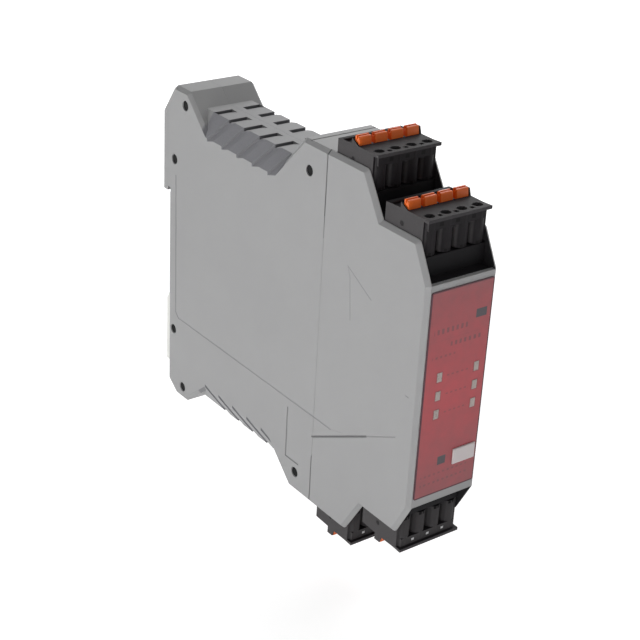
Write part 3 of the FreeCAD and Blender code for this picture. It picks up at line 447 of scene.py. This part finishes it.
# Plain moulded plastics: soft colour drift, fine grain and a little unevenness in the gloss.
mouldedLooks = {
    "headerBlack": {"light": shade(28, 27, 29), "dark": shade(17, 16, 18), "roughness": 0.55,
                    "grain": 3.4, "grainDepth": 0.03, "specular": 0.1},
    "leverOrange": {"light": shade(242, 112, 28), "dark": shade(218, 92, 16), "roughness": 0.42,
                    "grain": 4.0, "grainDepth": 0.015, "specular": 0.4, "coat": 0.15},
    "latchWhite": {"light": shade(232, 232, 228), "dark": shade(218, 218, 213), "roughness": 0.45,
                   "grain": 3.0, "grainDepth": 0.02, "specular": 0.45},
    "markerPale": {"light": shade(211, 203, 203), "dark": shade(198, 190, 191), "roughness": 0.5,
                   "grain": 5.0, "grainDepth": 0.015, "specular": 0.45},
    "dowelBlack": {"light": shade(28, 28, 29), "dark": shade(14, 14, 15), "roughness": 0.6,
                   "grain": 5.0, "grainDepth": 0.05, "specular": 0.1},
    "relayCover": {"light": shade(214, 208, 180), "dark": shade(196, 190, 160), "roughness": 0.3,
                   "grain": 2.0, "grainDepth": 0.02, "specular": 0.45},
    "coilTape": {"light": shade(226, 190, 70), "dark": shade(204, 166, 50), "roughness": 0.35,
                 "grain": 2.0, "grainDepth": 0.02, "specular": 0.45},
}


def mouldedFinish(name):
    look = mouldedLooks[name]
    finish = Finish(name, {
        "IOR": 1.47, "Specular IOR Level": look["specular"], "Coat Roughness": 0.25})
    spot = finish.place()
    grain = finish.noise(spot, look["grain"], 4.0, 0.6)
    drift = finish.noise(spot, 0.22)
    finish.put("Base Color", finish.mix(drift * 0.7 + grain * 0.3, look["dark"], look["light"]))
    finish.put("Roughness", grain * 0.14 + drift * 0.08 + (look["roughness"] - 0.1))
    if "coat" in look:
        finish.put("Coat Weight", drift * look["coat"])
    finish.bump(grain, look["grainDepth"], 0.8)
    return finish.material


# Rolled or drawn metal: fine streaks along one axis.
metalLooks = {
    "springSteel": {"light": (0.72, 0.72, 0.73, 1), "dark": (0.5, 0.5, 0.52, 1),
                    "roughness": 0.3, "stretch": (1, 1, 12)},
    "pinBrass": {"light": (0.83, 0.72, 0.45, 1), "dark": (0.62, 0.52, 0.3, 1),
                 "roughness": 0.3, "stretch": (8, 8, 1)},
    "canAluminium": {"light": (0.82, 0.82, 0.84, 1), "dark": (0.6, 0.6, 0.63, 1),
                     "roughness": 0.35, "stretch": (1, 10, 10)},
}


def metalFinish(name):
    look = metalLooks[name]
    finish = Finish(name, {"Metallic": 1.0})
    drawn = finish.node("ShaderNodeMapping", None, {
        "Vector": finish.place(), "Scale": look["stretch"]})
    streak = finish.noise(drawn, 1.6, 5.0, 0.65)
    finish.put("Base Color", finish.mix(streak, look["dark"], look["light"]))
    finish.put("Roughness", streak * 0.25 + (look["roughness"] - 0.1))
    finish.bump(streak, 0.01, 0.5)
    return finish.material


# Circuit boards: green solder mask with copper tracks just showing beneath it.
boardLook = {
    "mask": shade(22, 84, 48),
    "track": shade(48, 116, 66),
    "weave": shade(12, 56, 34),
    "trackScale": 0.35,
    "weaveScale": 6.0,
}


def boardFinish():
    look = boardLook
    finish = Finish("boardGreen", {"IOR": 1.5})
    spot = finish.place()
    tracks = finish.node("ShaderNodeTexWave", {
        "wave_type": "BANDS", "bands_direction": "DIAGONAL"}, {
        "Vector": spot, "Scale": look["trackScale"], "Distortion": 4.0, "Detail": 1.0})
    tracks = tracks.past(0.62, 12)
    weave = finish.noise(spot, look["weaveScale"])
    base = finish.mix(tracks, look["mask"], look["track"])
    finish.put("Base Color", finish.mix(weave * 0.25, base, look["weave"]))
    finish.put("Roughness", weave * 0.15 + 0.28)
    finish.bump(tracks, 0.03, 0.7)
    return finish.material


# Light windows: greyish tinted clear plastic, ribbed inside, unlit.
lensLook = {
    "dark": shade(146, 132, 128),
    "light": shade(186, 176, 170),
    "ribScale": 0.9,
    "cloudScale": 1.2,
}


def lensFinish():
    look = lensLook
    finish = Finish("lensGrey", {"IOR": 1.49})
    spot = finish.place()
    rib = finish.node("ShaderNodeTexWave", {"wave_type": "BANDS", "bands_direction": "Z"}, {
        "Vector": spot, "Scale": look["ribScale"], "Distortion": 0.3})
    cloud = finish.noise(spot, look["cloudScale"])
    finish.put("Base Color", finish.mix(rib * 0.5 + cloud * 0.4, look["dark"], look["light"]))
    finish.put("Roughness", cloud * 0.2 + 0.2)
    finish.bump(rib, 0.03, 0.6)
    return finish.material


housingGrey = housingFinish()
springSteel = metalFinish("springSteel")
boardGreen = boardFinish()
print("shared finishes made")

# Start of the node's name: its finish, and the edge rounding in millimetres that the mould leaves.
pieceLooks = {
    "left_rear_shell": (housingGrey, 0.12),
    "right_rear_shell": (housingGrey, 0.12),
    "front_hood": (housingGrey, 0.12),
    "front_label": (labelFinish(), 0),
    "marker_plate": (mouldedFinish("markerPale"), 0.08),
    "dowel_pins": (mouldedFinish("dowelBlack"), 0),
    "rail_latch": (mouldedFinish("latchWhite"), 0.3),
    "latch_spring": (springSteel, 0),
    "plug_": (plugFinish(), 0.12),
    "lever_": (mouldedFinish("leverOrange"), 0.22),
    "header_": (mouldedFinish("headerBlack"), 0.12),
    "pins_": (metalFinish("pinBrass"), 0),
    "clamps_": (springSteel, 0),
    "circuit_board": (boardGreen, 0),
    "lamp_board": (boardGreen, 0),
    "lamp_lens_": (lensFinish(), 0),
    "relay_": (mouldedFinish("relayCover"), 0),
    "capacitor": (metalFinish("canAluminium"), 0),
    "supply_coil": (mouldedFinish("coilTape"), 0),
}
edgeRounding = {"weld": 0.002, "segments": 2, "fromAngle": 32}

for name, piece in cadNodes.items():
    finish, width = next(look for start, look in pieceLooks.items() if name.startswith(start))
    piece.data.materials.clear()
    piece.data.materials.append(finish)
    if width:
        weld = piece.modifiers.new("weld", "WELD")
        weld.merge_threshold = edgeRounding["weld"] * mm
        bevel = piece.modifiers.new("rounding", "BEVEL")
        bevel.width = width * mm
        bevel.segments = edgeRounding["segments"]
        bevel.limit_method = "ANGLE"
        bevel.angle_limit = math.radians(edgeRounding["fromAngle"])
        bevel.use_clamp_overlap = True
print("finishes given to the CAD pieces")


# Latch spring: a thin strip folded to and fro in round bends. Lengths in millimetres.
springShape = {
    "strip": 0.42,
    "bars": 5,
    "bendSteps": 8,
    "latchTravel": 4.0,
    "spare": 0.1,
}


def springPath(low, high):
    # middle line of the strip as (X, Z), from the lowest bar to the highest
    half = springShape["strip"] / 2
    bars = springShape["bars"]
    steps = springShape["bendSteps"]
    pitch = (high.z - low.z - 2 * half) / (bars - 1)
    bend = pitch / 2
    reach = (high.x - low.x) / 2 - half
    points = [(-reach, low.z + half)]
    for bar in range(bars):
        toward = 1 if bar % 2 == 0 else -1
        level = low.z + half + bar * pitch
        if bar == bars - 1:
            points.append((toward * reach, level))
            break
        for step in range(steps + 1):
            angle = math.pi * (step / steps - 0.5)
            points.append((toward * (reach - bend + bend * math.cos(angle)),
                           level + bend + bend * math.sin(angle)))
    return points


def latchSpring():
    low, high = (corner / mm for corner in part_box("latch_spring"))
    points = springPath(low, high)
    middle = (low.x + high.x) / 2
    made = bmesh.new()
    rings = []
    for index, (x, z) in enumerate(points):
        before = points[max(index - 1, 0)]
        after = points[min(index + 1, len(points) - 1)]
        run = Vector((after[0] - before[0], after[1] - before[1])).normalized()
        side = Vector((-run.y, run.x)) * springShape["strip"] / 2
        corners = [(x + side.x, low.y, z + side.y), (x - side.x, low.y, z - side.y),
                   (x - side.x, high.y, z - side.y), (x + side.x, high.y, z + side.y)]
        rings.append([made.verts.new(Vector((middle + a, b, c)) * mm) for a, b, c in corners])
    for first, second in zip(rings, rings[1:]):
        for corner in range(4):
            other = (corner + 1) % 4
            made.faces.new((first[corner], first[other], second[other], second[corner]))
    made.faces.new(rings[0][::-1])
    made.faces.new(rings[-1])
    bmesh.ops.recalc_face_normals(made, faces=made.faces)
    mesh = bpy.data.meshes.new("latchSpring")
    made.to_mesh(mesh)
    made.free()
    piece = bpy.data.objects.new("latchSpring", mesh)
    bpy.context.scene.collection.objects.link(piece)
    piece.data.materials.append(springSteel)
    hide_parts("latch_spring")
    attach(piece, "housing")
    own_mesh(piece)


latchSpring()
print("latch spring")


# Floor and lamps. The floor lies below the lower plugs also when they are pulled out.
studio = {
    "floorGap": 12.6,
    "floorReach": 6.0,  # metres
    "floorGlow": 0.45,
    "floorDark": (0.86, 0.86, 0.86, 1),
    "floorLight": (0.9, 0.9, 0.9, 1),
    "nearFloor": 300.0,  # millimetres around the part where the shadow shows in full
    "world": 0.34,
    "lamps": [
        # place and aim in metres, width and height, power in watts
        ((-0.42, -0.1, 0.26), (-0.62, -0.12, -0.06), (0.8, 0.25), 6.3),
        ((-0.14, -0.36, 0.2), (-0.22, -0.63, -0.06), (0.5, 0.15), 1.6),
        ((-0.165, -0.06, -0.042), (0.0, -0.06, -0.05), (0.3, 0.03), 0.1),
        ((0.0, -1.25, 0.06), (0.0, -0.056, 0.0), (1.0, 0.25), 0.5),
        ((0.85, 0.38, 0.55), (0.0, -0.056, 0.0), (0.8, 0.6), 8.5),
    ],
}


def floorFinish():
    # A pale floor that reads as white, more so far out, but still takes the object's shadow.
    finish = Finish("floorPale", {"Roughness": 0.9, "Emission Strength": 1.0})
    spot = finish.place()
    cloud = finish.noise(spot, 0.01)
    finish.put("Base Color", finish.mix(cloud, studio["floorDark"], studio["floorLight"]))
    away = finish.node("ShaderNodeVectorMath", {"operation": "LENGTH"}, {0: spot}, output="Value")
    away = ((away - studio["nearFloor"]) / studio["nearFloor"]).clamped()
    glow = finish.backdropRays() * (away * (1 - studio["floorGlow"]) + studio["floorGlow"])
    finish.put("Emission Color", finish.mix(glow, (0, 0, 0, 1), (1, 1, 1, 1)))
    return finish.material


ground = cadBox[0].z - studio["floorGap"] * mm
reach = studio["floorReach"]
floorMesh = bpy.data.meshes.new("floor")
floorCorners = [(-reach, -reach, ground), (reach, -reach, ground), (reach, reach, ground),
                (-reach, reach, ground)]
floorMesh.from_pydata(floorCorners, [], [(0, 1, 2, 3)])
floorPiece = bpy.data.objects.new("floor", floorMesh)
bpy.context.scene.collection.objects.link(floorPiece)
floorPiece.data.materials.append(floorFinish())

world = bpy.data.worlds.new("studio")
bpy.context.scene.world = world
world.use_nodes = True
sky = Graph(world.node_tree)
background = sky.tree.nodes["Background"]
background.inputs["Color"].default_value = (1, 1, 1, 1)
brightness = sky.backdropRays().math("MAXIMUM", studio["world"])
sky.tree.links.new(brightness.socket, background.inputs["Strength"])

for number, (spot, target, size, power) in enumerate(studio["lamps"], start=1):
    lampData = bpy.data.lights.new(f"lamp{number}", "AREA")
    lampData.shape = "RECTANGLE"
    lampData.size, lampData.size_y = size
    lampData.energy = power
    lamp = bpy.data.objects.new(f"lamp{number}", lampData)
    lamp.location = spot
    lamp.rotation_mode = "QUATERNION"
    lamp.rotation_quaternion = (Vector(target) - Vector(spot)).to_track_quat("-Z", "Y")
    bpy.context.scene.collection.objects.link(lamp)
print("floor, sky and lamps")

# Camera, as fitted to the outline: place in metres, axes, focal length and picture width in pixels.
cameraFit = {
    "place": (-0.22372, -0.35049, 0.17854),
    "right": (0.8053, -0.5907, 0.0501),
    "up": (0.2261, 0.3842, 0.8951),
    "forward": (0.548, 0.7096, -0.443),
    "focal": 1485.88,
    "pixels": 640,
    "sensor": 36.0,
    "clipStart": 0.01,
}
cameraData = bpy.data.cameras.new("camera")
cameraData.sensor_width = cameraFit["sensor"]
cameraData.lens = cameraFit["sensor"] * cameraFit["focal"] / cameraFit["pixels"]
cameraData.clip_start = cameraFit["clipStart"]
camera = bpy.data.objects.new("camera", cameraData)
rightAxis, upAxis, forwardAxis = (Vector(cameraFit[axis]) for axis in ("right", "up", "forward"))
turn = Matrix((rightAxis, upAxis, -forwardAxis)).transposed().to_4x4()
camera.matrix_world = Matrix.Translation(Vector(cameraFit["place"])) @ turn
bpy.context.scene.collection.objects.link(camera)
bpy.context.scene.camera = camera
bpy.context.scene.view_settings.view_transform = "Standard"
print("camera")
